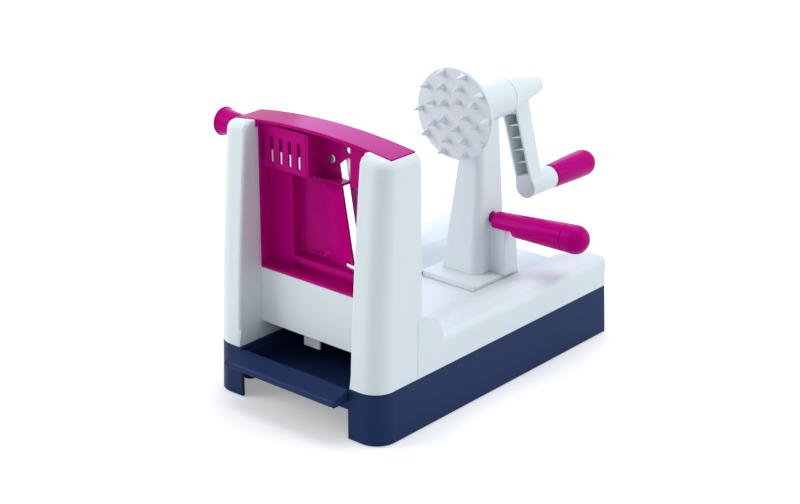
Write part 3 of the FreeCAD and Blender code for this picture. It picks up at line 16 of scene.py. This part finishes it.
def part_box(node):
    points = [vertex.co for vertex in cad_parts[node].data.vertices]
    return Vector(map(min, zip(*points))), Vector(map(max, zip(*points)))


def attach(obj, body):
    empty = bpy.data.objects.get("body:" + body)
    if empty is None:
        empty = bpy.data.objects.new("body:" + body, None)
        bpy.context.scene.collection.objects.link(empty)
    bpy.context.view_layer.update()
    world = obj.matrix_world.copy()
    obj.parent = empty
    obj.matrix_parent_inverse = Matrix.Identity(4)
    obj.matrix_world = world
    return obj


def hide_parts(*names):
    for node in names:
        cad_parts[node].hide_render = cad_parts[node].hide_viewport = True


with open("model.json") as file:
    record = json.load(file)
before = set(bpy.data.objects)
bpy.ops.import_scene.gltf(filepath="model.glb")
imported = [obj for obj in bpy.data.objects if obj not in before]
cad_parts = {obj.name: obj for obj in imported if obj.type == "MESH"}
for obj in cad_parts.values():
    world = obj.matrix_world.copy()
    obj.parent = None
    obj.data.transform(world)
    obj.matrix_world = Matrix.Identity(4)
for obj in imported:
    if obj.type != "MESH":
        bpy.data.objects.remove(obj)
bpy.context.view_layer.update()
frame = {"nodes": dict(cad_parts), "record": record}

nodes = frame["nodes"]
body_of_node = {
    node: body
    for body, members in frame["record"]["behaviour"]["bodies"].items()
    for node in members
}
slot_of_node = {row["node"]: row["material_slot"] for row in frame["record"]["subparts"]}

# %% [markdown]
# ## Measures that several pieces share
# The base's front face and the middle of the machine are read from the frame, so that a
# place on a piece is written as a distance from something one can point at.

# %% Middle, front and a point in millimetres
MM = 0.001
BASE_LENGTH = 300
low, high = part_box("base_tub")
MIDDLE = (low.x + high.x) / 2
FRONT = low.y
CENTRE_Y = FRONT + BASE_LENGTH / 2 * MM


def place(x, y, z):
    """A point given in millimetres from the middle of the base's footprint."""
    return Vector((MIDDLE + x * MM, CENTRE_Y + y * MM, z * MM))


def behind_front(point):
    """How far a point lies behind the base's front face, in millimetres."""
    return (point.y - FRONT) / MM


def off_middle(point):
    """How far a point lies to either side of the machine's middle, in millimetres."""
    return abs(point.x - MIDDLE) / MM


print("middle", MIDDLE, "front", FRONT)

# %% [markdown]
# ## The camera
# A product photograph is taken from far away with a long lens, so that upright edges stay
# nearly upright. The place, the turn and the lens come from lines of the object that run
# along X, Y and Z. The camera's axes are built one by one, because that shows what azimuth,
# elevation and roll do.

# %% Camera
AZIMUTH = math.radians(40.54)
ELEVATION = math.radians(21.638)
ROLL = math.radians(0.101)
CAMERA_PLACE = place(965.04, -1149.06, 691.96)
LENS_PIXELS = 1940.1  # the lens as the number of picture pixels it equals
PICTURE_WIDTH = 800
SENSOR = 36.0

camera_data = bpy.data.cameras.new("photo_camera")
camera_data.sensor_width = SENSOR
camera_data.lens = LENS_PIXELS / PICTURE_WIDTH * SENSOR
camera_data.clip_end = 20
camera = bpy.data.objects.new("photo_camera", camera_data)
bpy.context.scene.collection.objects.link(camera)
backward = Vector((
    math.sin(AZIMUTH) * math.cos(ELEVATION),
    -math.cos(AZIMUTH) * math.cos(ELEVATION),
    math.sin(ELEVATION),
))
across = Vector((0, 0, 1)).cross(backward).normalized()
upward = backward.cross(across)
across, upward = (
    across * math.cos(ROLL) + upward * math.sin(ROLL),
    upward * math.cos(ROLL) - across * math.sin(ROLL),
)
turn = Matrix((across, upward, backward)).transposed().to_4x4()
camera.matrix_world = Matrix.Translation(CAMERA_PLACE) @ turn
bpy.context.scene.camera = camera
print("camera at", camera.matrix_world.translation, "lens", camera_data.lens, "mm")

# %% [markdown]
# ## The table
# The machine stands on one large pale sheet, which takes a soft shadow and hides the horizon.

# %% Table
TABLE_HALF = 6  # metres
table_mesh = bmesh.new()
bmesh.ops.create_grid(table_mesh, x_segments=1, y_segments=1, size=TABLE_HALF)
table_data = bpy.data.meshes.new("table")
table_mesh.to_mesh(table_data)
table_mesh.free()
table = bpy.data.objects.new("table", table_data)
bpy.context.scene.collection.objects.link(table)
print("table", 2 * TABLE_HALF, "m wide")

# %% [markdown]
# ## Helpers for materials
# A material is a small tree of nodes. Three helpers keep the trees readable: one makes an
# empty material, one adds a node with its settings, and one asks how a surface is seen.


# %% Node helpers
def new_material(name):
    """A material with an empty node tree and its output."""
    material = bpy.data.materials.new(name)
    material.use_nodes = True
    tree = material.node_tree
    tree.nodes.clear()
    output = tree.nodes.new("ShaderNodeOutputMaterial")
    return material, tree, output


def add(tree, kind, **settings):
    """A node with plain settings; a setting named as a socket sets that socket."""
    node = tree.nodes.new(kind)
    for name, value in settings.items():
        if hasattr(node, name):
            setattr(node, name, value)
        else:
            node.inputs[name.replace("_", " ")].default_value = value
    return node


def seen_directly(tree):
    """One for camera, glossy and transmission rays, nought for light that falls on things."""
    path = add(tree, "ShaderNodeLightPath")
    first = add(tree, "ShaderNodeMath", operation="MAXIMUM")
    both = add(tree, "ShaderNodeMath", operation="MAXIMUM")
    tree.links.new(path.outputs["Is Camera Ray"], first.inputs[0])
    tree.links.new(path.outputs["Is Glossy Ray"], first.inputs[1])
    tree.links.new(first.outputs[0], both.inputs[0])
    tree.links.new(path.outputs["Is Transmission Ray"], both.inputs[1])
    return both.outputs[0]


# %% [markdown]
# ## World and table finish
# The photograph has a white ground. The world is white, at a strength of 1, where the
# camera or a shiny surface looks at it, and dimmer as a light, so that white plastic keeps
# its shades. The table glows a little in the same two cases, which lifts it to white and
# leaves the shadow on it.

# %% World
WORLD_LIGHT = 0.50
SKY_COLOUR = (0.93, 0.96, 1.0, 1)
WHITE = (1, 1, 1, 1)

world = bpy.data.worlds.new("studio")
bpy.context.scene.world = world
world.use_nodes = True
tree = world.node_tree
tree.nodes.clear()
sky = add(tree, "ShaderNodeBackground", Color=SKY_COLOUR, Strength=WORLD_LIGHT)
ground = add(tree, "ShaderNodeBackground", Color=WHITE, Strength=1.0)
either = add(tree, "ShaderNodeMixShader")
tree.links.new(seen_directly(tree), either.inputs[0])
tree.links.new(sky.outputs[0], either.inputs[1])
tree.links.new(ground.outputs[0], either.inputs[2])
output = add(tree, "ShaderNodeOutputWorld")
tree.links.new(either.outputs[0], output.inputs[0])
print("world light", WORLD_LIGHT)

# %% Table finish
TABLE_SHADE = 0.86
TABLE_GLOW = 0.30

material, tree, output = new_material("table_white")
paper = add(tree, "ShaderNodeBsdfDiffuse", Color=(TABLE_SHADE, TABLE_SHADE, TABLE_SHADE, 1))
glow = add(tree, "ShaderNodeEmission", Color=WHITE, Strength=TABLE_GLOW)
glowing_paper = add(tree, "ShaderNodeAddShader")
either = add(tree, "ShaderNodeMixShader")
tree.links.new(paper.outputs[0], glowing_paper.inputs[0])
tree.links.new(glow.outputs[0], glowing_paper.inputs[1])
tree.links.new(seen_directly(tree), either.inputs[0])
tree.links.new(paper.outputs[0], either.inputs[1])
tree.links.new(glowing_paper.outputs[0], either.inputs[2])
tree.links.new(either.outputs[0], output.inputs[0])
table.data.materials.append(material)
print("table shade", TABLE_SHADE, "glow", TABLE_GLOW)

# %% [markdown]
# ## Lamps
# A large soft card stands far out on the left and another on the right, so that the side
# that faces the camera stays a shade darker, as on the real photograph. A third card hangs
# over the machine. A small violet one behind it gives the cover and the lever's top the
# cool sheen that they have there.

# %% Soft cards
AIM = Vector((0, 0, 0.12))  # the middle of the machine


def soft_card(name, position, size, power, colour=(1, 1, 1)):
    """A square area lamp at a place in metres, turned to the middle of the machine."""
    data = bpy.data.lights.new(name, "AREA")
    data.shape = "SQUARE"
    data.size = size
    data.energy = power
    data.color = colour
    lamp = bpy.data.objects.new(name, data)
    bpy.context.scene.collection.objects.link(lamp)
    lamp.location = position
    lamp.rotation_euler = (AIM - Vector(position)).to_track_quat("-Z", "Y").to_euler()
    print(name, power, "W")


soft_card("left_card", (-2.6, -2.1, 1.5), 2.2, 64)
soft_card("right_card", (2.4, 1.4, 1.3), 2.0, 31, (0.95, 0.98, 1.0))
soft_card("top_card", (-0.1, 0.3, 1.9), 1.4, 17, (0.90, 0.94, 1.0))
soft_card("back_card", (-1.3, 1.75, 1.15), 0.9, 7, (0.55, 0.45, 1.0))

# %% [markdown]
# ## Finishes
# Injection moulded parts are smooth but never perfect: the gloss varies a little, and a
# fine grain breaks the reflections. Noise on Object coordinates gives both, so that the
# pattern stays on the piece when it moves. A fixed number, such as the gloss, is set on the
# shader's own socket, because an export keeps it only there.

# %% Moulded plastic
CLOUD_SCALE = 14  # spots about as long as a finger
GRAIN_SCALE = 900  # grains of about a millimetre
GRAIN_DEPTH = 0.0002


def moulded(name, colour, tint, roughness, grain, gloss):
    """Plastic with a soft change of colour and gloss, and a fine grain."""
    material, tree, output = new_material(name)
    shader = add(tree, "ShaderNodeBsdfPrincipled")
    shader.inputs["Specular IOR Level"].default_value = gloss
    tree.links.new(shader.outputs[0], output.inputs[0])
    where = add(tree, "ShaderNodeTexCoord")
    cloud = add(tree, "ShaderNodeTexNoise", Scale=CLOUD_SCALE, Detail=3, Roughness=0.5)
    tree.links.new(where.outputs["Object"], cloud.inputs["Vector"])
    shades = add(tree, "ShaderNodeMix", data_type="RGBA")
    shades.inputs[6].default_value = (*colour, 1)
    shades.inputs[7].default_value = (*tint, 1)
    tree.links.new(cloud.outputs["Fac"], shades.inputs[0])
    tree.links.new(shades.outputs[2], shader.inputs["Base Color"])
    dull = add(tree, "ShaderNodeMapRange")
    dull.inputs["To Min"].default_value = roughness * 0.85
    dull.inputs["To Max"].default_value = roughness * 1.15
    tree.links.new(cloud.outputs["Fac"], dull.inputs["Value"])
    tree.links.new(dull.outputs[0], shader.inputs["Roughness"])
    fine = add(tree, "ShaderNodeTexNoise", Scale=GRAIN_SCALE, Detail=2, Roughness=0.6)
    tree.links.new(where.outputs["Object"], fine.inputs["Vector"])
    bump = add(tree, "ShaderNodeBump", Strength=grain, Distance=GRAIN_DEPTH)
    tree.links.new(fine.outputs["Fac"], bump.inputs["Height"])
    tree.links.new(bump.outputs[0], shader.inputs["Normal"])
    return material


# %% [markdown]
# ## Steel
# Ground blades and turned pins carry fine marks along one direction. The noise is squeezed
# along an axis by a Mapping node, so that its spots become streaks.

# %% Turned and brushed steel
MARK_SCALE = 60
MARK_DEPTH = 0.0001


def steel(name, colour, roughness, stretch):
    """Metal with fine marks along one axis, as grinding or turning leaves them."""
    material, tree, output = new_material(name)
    shader = add(tree, "ShaderNodeBsdfPrincipled", Metallic=1.0)
    tree.links.new(shader.outputs[0], output.inputs[0])
    where = add(tree, "ShaderNodeTexCoord")
    stretched = add(tree, "ShaderNodeMapping")
    stretched.inputs["Scale"].default_value = stretch
    marks = add(tree, "ShaderNodeTexNoise", Scale=MARK_SCALE, Detail=4, Roughness=0.6)
    tree.links.new(where.outputs["Object"], stretched.inputs["Vector"])
    tree.links.new(stretched.outputs[0], marks.inputs["Vector"])
    shades = add(tree, "ShaderNodeMix", data_type="RGBA")
    shades.inputs[6].default_value = (*[0.8 * part for part in colour], 1)
    shades.inputs[7].default_value = (*colour, 1)
    tree.links.new(marks.outputs["Fac"], shades.inputs[0])
    tree.links.new(shades.outputs[2], shader.inputs["Base Color"])
    dull = add(tree, "ShaderNodeMapRange")
    dull.inputs["To Min"].default_value = roughness * 0.7
    dull.inputs["To Max"].default_value = roughness * 1.3
    tree.links.new(marks.outputs["Fac"], dull.inputs["Value"])
    tree.links.new(dull.outputs[0], shader.inputs["Roughness"])
    bump = add(tree, "ShaderNodeBump", Strength=0.12, Distance=MARK_DEPTH)
    tree.links.new(marks.outputs["Fac"], bump.inputs["Height"])
    tree.links.new(bump.outputs[0], shader.inputs["Normal"])
    return material


# %% [markdown]
# ## One finish for each slot
# The record names eight finishes. The magenta plastic mirrors with a violet tint, which
# is what the photograph shows on its cover and lever.

# %% The finishes by the record's slots
# Plastics: colour, lighter tint, roughness, grain, gloss.
PLASTICS = {
    "white_plastic": ((0.70, 0.775, 0.79), (0.74, 0.81, 0.825), 0.38, 0.05, 0.12),
    "navy_plastic": ((0.009, 0.026, 0.088), (0.013, 0.032, 0.104), 0.34, 0.08, 0.08),
    "magenta_plastic": ((0.41, 0.0, 0.165), (0.51, 0.001, 0.21), 0.15, 0.03, 0.05),
    "bush_plastic": ((0.56, 0.56, 0.54), (0.62, 0.62, 0.60), 0.6, 0.2, 0.3),
    "foot_rubber": ((0.018, 0.018, 0.020), (0.03, 0.03, 0.032), 0.75, 0.6, 0.2),
}
# Steels: colour, roughness, and how the marks are squeezed along X, Y and Z.
STEELS = {
    "blade_steel": ((0.70, 0.71, 0.74), 0.38, (1, 1, 18)),
    "pin_steel": ((0.60, 0.61, 0.64), 0.28, (1, 12, 1)),
    "screw_steel": ((0.52, 0.53, 0.55), 0.35, (8, 8, 1)),
}
VIOLET = (0.55, 0.30, 1.0, 1)

finishes = {slot: moulded(slot, *values) for slot, values in PLASTICS.items()}
finishes.update({slot: steel(slot, *values) for slot, values in STEELS.items()})
magenta_shader = finishes["magenta_plastic"].node_tree.nodes["Principled BSDF"]
magenta_shader.inputs["Specular Tint"].default_value = VIOLET
print("finishes:", ", ".join(sorted(finishes)))

# %% Dress the CAD nodes
for node, piece in nodes.items():
    piece.data.materials.clear()
    piece.data.materials.append(finishes[slot_of_node[node]])
print("dressed", len(nodes), "nodes")

# %% [markdown]
# ## Soft edges for the moulded shells
# A mould never gives a knife edge, and the thin bright line along an edge is much of what
# makes plastic look real. The shapes of the shells are right in the CAD model, so each is
# copied, its triangles are merged into whole faces, and only its outer edges get a small
# round. Inner corners stay, because a mould leaves those sharp.

# %% Helpers for pieces
DOUBLES = 0.002 * MM  # corners nearer than this are one corner
FLAT = math.radians(0.05)  # triangles that bend less than this are one flat face
OUTWARD = math.radians(30)  # a sharper edge than this gets a round


def piece_from(shape, name, node, sharp=32):
    """A finished object at the origin, in the finish and on the body of its node."""
    data = bpy.data.meshes.new(name)
    shape.to_mesh(data)
    shape.free()
    for face in data.polygons:
        face.use_smooth = True
    data.set_sharp_from_angle(angle=math.radians(sharp))
    data.materials.append(finishes[slot_of_node[node]])
    piece = bpy.data.objects.new(name, data)
    bpy.context.scene.collection.objects.link(piece)
    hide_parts(node)
    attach(piece, body_of_node[node])
    print(name, "has", len(data.polygons), "faces")
    return piece


def even_normals(piece):
    """Large flat faces keep their own direction, and narrow rounds blend between them."""
    even = piece.modifiers.new("even_normals", "WEIGHTED_NORMAL")
    even.keep_sharp = True
    even.weight = 100


def merged_copy(node, cuts=()):
    """The node's triangles as whole faces, cut first along (point, direction) planes.

    A face with a window in it can't be one polygon. A cut beside the window gives it clean
    borders, where the side of a leftover triangle would make the bevel slide.
    """
    shape = bmesh.new()
    shape.from_mesh(nodes[node].data)
    bmesh.ops.remove_doubles(shape, verts=shape.verts, dist=DOUBLES)
    kept = set()
    for point, direction in cuts:
        cut = bmesh.ops.bisect_plane(
            shape, geom=shape.verts[:] + shape.edges[:] + shape.faces[:], dist=DOUBLES,
            plane_co=point, plane_no=direction)
        kept.update(cut["geom_cut"])
    bmesh.ops.dissolve_limit(
        shape, angle_limit=FLAT,
        verts=[corner for corner in shape.verts if corner not in kept],
        edges=[edge for edge in shape.edges if edge not in kept])
    return shape


def outer_edges(shape):
    """Edges where two faces meet outwards at a clear angle."""
    return [
        edge for edge in shape.edges
        if edge.is_manifold and edge.calc_face_angle_signed(0) > OUTWARD
    ]


def round_edges(shape, edges, width, segments):
    """A bevel with a round section, its width in millimetres."""
    bmesh.ops.bevel(
        shape, geom=edges, offset=width * MM, offset_type="OFFSET", segments=segments,
        profile=0.5, affect="EDGES", clamp_overlap=False, material=-1)


def soft_copy(name, node, width, segments=2, where=None, cuts=()):
    """The node again, with soft outer edges, in its place."""
    shape = merged_copy(node, cuts)
    edges = [edge for edge in outer_edges(shape) if where is None or where(edge)]
    round_edges(shape, edges, width, segments)
    even_normals(piece_from(shape, name, node))


# %% [markdown]
# ## Tub, tray and sliding foot
# The tub's rim is one face all round, and so is every wall around a window. Two cuts
# through the middle divide such a face into plain pieces before its triangles are merged.

# %% Tub, tray and foot
ACROSS_MIDDLE = (place(0, 0, 0), (1, 0, 0))
ALONG_MIDDLE = (place(0, 0, 0), (0, 1, 0))
UNDERSIDE = 2 * MM


def above_table(edge):
    """Edges that don't lie on the underside, where nothing shows and the rims are narrow."""
    return max(corner.co.z for corner in edge.verts) > UNDERSIDE


soft_copy(
    "tub_shell", "base_tub", 0.7, where=above_table, cuts=[ACROSS_MIDDLE, ALONG_MIDDLE])
soft_copy("tray_shell", "tray", 0.5)
soft_copy("sliding_foot", "carriage_foot", 0.5)

# %% [markdown]
# ## The housing
# The inner front edges of the pillars are visibly rounder than the other edges, so they
# are rounded first with a wider bevel, and then all that is still sharp gets the fine one.
# The guide ribs in the trough are too narrow for it and stay as they are.

# %% Edges of the housing
GAP_HALF = 59.3  # from the middle to the pillars' inner faces
PILLAR_FACE_DEPTH = 20  # the pillars' raked front lies within this behind the base's front
JOINT_HEIGHT = 46 * MM  # just above the seam between tub and housing
TROUGH_HALF = 62
TROUGH_END = 296  # just inside the back
RIB_ASIDE = (28, 37)
RIB_HEIGHT = (53.5 * MM, 58 * MM)


def on_inner_front(edge):
    """Edges of the gap between the pillars that run up their front faces."""
    return all(
        abs(off_middle(corner.co) - GAP_HALF) <= 0.2
        and behind_front(corner.co) <= PILLAR_FACE_DEPTH
        and corner.co.z >= JOINT_HEIGHT
        for corner in edge.verts)


def in_trough(edge):
    """Edges of the guide ribs and of the trough's open end: the mould parts there, sharp."""
    for corner in edge.verts:
        aside = off_middle(corner.co)
        at_end = behind_front(corner.co) > TROUGH_END and aside < TROUGH_HALF
        on_rib = (
            RIB_ASIDE[0] < aside < RIB_ASIDE[1]
            and RIB_HEIGHT[0] < corner.co.z < RIB_HEIGHT[1])
        if not (at_end or on_rib):
            return False
    return True


# %% Housing
shell = merged_copy("upper_housing", cuts=[ACROSS_MIDDLE])
pillar_edges = [edge for edge in outer_edges(shell) if on_inner_front(edge)]
round_edges(shell, pillar_edges, 2.6, 5)
fine_edges = [edge for edge in outer_edges(shell) if not in_trough(edge)]
round_edges(shell, fine_edges, 0.5, 2)
print("housing:", len(pillar_edges), "wide and", len(fine_edges), "fine edges")
even_normals(piece_from(shell, "housing_shell", "upper_housing"))

# %% [markdown]
# ## The blade insert
# The insert lifts out as one unit: its frame, the comb carrier clipped into it, the knob
# and the blades. The magenta plastic is thin, so its edges are finer than the housing's.
# The curved recess is a loft of many narrow faces, so the bevel keeps clear of it.

# %% Insert, carrier and blades
COVER_HEIGHT = 224 * MM
RIM_DEPTH = 37.5


def on_cover_or_rim(edge):
    """Edges of the cover and of the frame's front rim, clear of the curved recess."""
    middle = (edge.verts[0].co + edge.verts[1].co) / 2
    return middle.z > COVER_HEIGHT or behind_front(middle) < RIM_DEPTH


soft_copy("insert_shell", "insert_frame", 0.4, where=on_cover_or_rim)
soft_copy("carrier_block", "comb_carrier", 0.35)
soft_copy("comb_steel", "comb_blade", 0.12, segments=1)
soft_copy("slicing_blade", "straight_blade", 0.15, segments=1)

# %% [markdown]
# ## Turned pieces
# Knob, grip and disc are round about an axis. Half of the section is drawn as a few
# points, its corners are rounded with a vertex bevel, and a spin turns it into the piece.
# That gives even quads all round, which the CAD triangles don't.


# %% Helpers for turned pieces
def turned_shape(section, steps=72, segments=6):
    """A bmesh turned about Z from points of (station, radius, rounding), in millimetres."""
    shape = bmesh.new()
    corners = [shape.verts.new((radius * MM, 0, station * MM)) for station, radius, _ in section]
    for start, end in zip(corners, corners[1:]):
        shape.edges.new((start, end))
    if section[0][1] > 0:  # a ring: its section is a closed line
        shape.edges.new((corners[-1], corners[0]))
    for corner, (_, _, rounding) in zip(corners, section):
        if rounding:
            bmesh.ops.bevel(
                shape, geom=[corner], offset=rounding * MM, offset_type="OFFSET",
                segments=segments, profile=0.5, affect="VERTICES", material=-1)
    bmesh.ops.spin(
        shape, geom=shape.verts[:] + shape.edges[:], cent=(0, 0, 0), axis=(0, 0, 1),
        dvec=(0, 0, 0), angle=2 * math.pi, steps=steps, use_merge=True)
    bmesh.ops.remove_doubles(shape, verts=shape.verts, dist=0.001 * MM)
    bmesh.ops.recalc_face_normals(shape, faces=shape.faces)
    return shape


def lay_along(shape, direction, start):
    """The shape with its Z axis laid along a direction, from a start point."""
    turn = Vector(direction).to_track_quat("Z", "Y").to_matrix().to_4x4()
    bmesh.ops.transform(shape, matrix=Matrix.Translation(start) @ turn, verts=shape.verts)
    return shape


# %% Knob of the insert
KNOB_END = place(-117.5, -108, 213.8)
knob = turned_shape([
    (0, 0, 0), (0.35, 3.2, 1.2), (1.5, 6.6, 1.2), (3.2, 9.6, 1.2), (5.3, 11.9, 0.7),
    (6.5, 11.9, 0.4), (6.6, 11.2, 0), (11, 10.45, 1.5), (16, 9.85, 1.5), (22, 9.4, 1.5),
    (28.4, 9.2, 0.4), (28.4, 5.5, 0), (58.4, 5.5, 0), (58.4, 2.75, 0), (63.4, 2.75, 0.4),
    (63.4, 0, 0),
], segments=4)
piece_from(lay_along(knob, (1, 0, 0), KNOB_END), "lifting_knob", "insert_knob", 40)

# %% [markdown]
# ## The crank's grip
# The grip turns on a pin at the end of the arm, so its place comes from the crank's axis,
# its throw, and how far the arm is turned in the photograph.

# %% Crank grip
CRANK_AXIS = 205.5
THROW = 81.2
CRANK_TURN = math.radians(16.5)
GRIP_START = place(
    THROW * math.sin(CRANK_TURN), 153.4, CRANK_AXIS - THROW * math.cos(CRANK_TURN))
grip = turned_shape([
    (0, 3.06, 0), (0, 10.5, 0.9), (12.6, 11.1, 2), (30.6, 11.75, 2), (46.5, 12.0, 0),
    (60.5, 12.0, 11.9), (60.5, 0, 0), (55.8, 0, 0), (55.8, 3.06, 0),
], segments=14)
piece_from(lay_along(grip, (0, 1, 0), GRIP_START), "turning_grip", "crank_grip", 40)

# %% [markdown]
# ## The prong disc
# Three rings of square thorns hold the vegetable. One thorn is a four-sided cone with
# soft edges, and it is set out round the disc by turning copies of it. The disc is made
# lying down with its thorns below it, and then laid along the crank's axis.

# %% Disc
DISC_FRONT = place(0, 47.3, CRANK_AXIS)
disc = turned_shape([
    (0, 0, 0), (0, 39.5, 0.9), (3.5, 39.5, 0.4), (3.5, 10.3, 0), (11.5, 10.3, 0.3),
    (11.5, 5.05, 0), (2, 5.05, 0), (2, 0, 0),
], steps=96, segments=5)

# %% Thorns
THORN = 9.3
THORN_SUNK = 0.3  # how far the foot of a thorn stands in the disc
FOOT_SIDE = 5
TIP_SIDE = 0.6
RINGS = ((35.5, 2, 10), (24.2, 30, 8), (12.5, 70, 5))  # radius, first angle, number


def add_thorn(shape, radius, angle):
    """One square thorn below the disc, its tip down, at a radius and an angle in degrees."""
    thorn = bmesh.ops.create_cone(
        shape, cap_ends=True, segments=4, radius1=FOOT_SIDE / math.sqrt(2) * MM,
        radius2=TIP_SIDE / math.sqrt(2) * MM, depth=(THORN + THORN_SUNK) * MM)
    edges = list({edge for corner in thorn["verts"] for edge in corner.link_edges})
    rounded = bmesh.ops.bevel(
        shape, geom=edges, offset=0.28 * MM, offset_type="OFFSET", segments=2, profile=0.5,
        affect="EDGES", clamp_overlap=True, material=-1)
    corners = list({corner for face in rounded["faces"] for corner in face.verts})
    square = Matrix.Rotation(math.radians(45), 4, "Z")
    tip_down = Matrix.Rotation(math.pi, 4, "X")
    lower = Matrix.Translation((0, 0, -(THORN - THORN_SUNK) / 2 * MM))
    out = Matrix.Translation((radius * MM, 0, 0))
    around = Matrix.Rotation(math.radians(angle), 4, "Z")
    bmesh.ops.transform(shape, matrix=around @ out @ lower @ tip_down @ square, verts=corners)


for radius, first, count in RINGS:
    for number in range(count):
        # Laying the disc down turns it over, so the angles run the other way round.
        add_thorn(disc, radius, 180 - first - 360 / count * number)
piece_from(lay_along(disc, (0, 1, 0), DISC_FRONT), "thorn_disc", "prong_disc", 35)

# %% [markdown]
# ## Column, crank arm and push lever
# These are mouldings with their own curves, so they are soft copies as well.

# %% Soft copies of the moving pieces
soft_copy("carriage_column", "column", 0.5)
soft_copy("crank_moulding", "crank_arm", 0.5)
soft_copy("lever_upper", "lever_arm", 0.35)
soft_copy("lever_lower", "lever_underside", 0.35)
soft_copy("lever_cap", "lever_end_cap", 0.3)

# %% [markdown]
# The picture is taken with the plain Standard transform.

# %% Finish
bpy.context.scene.view_settings.view_transform = "Standard"
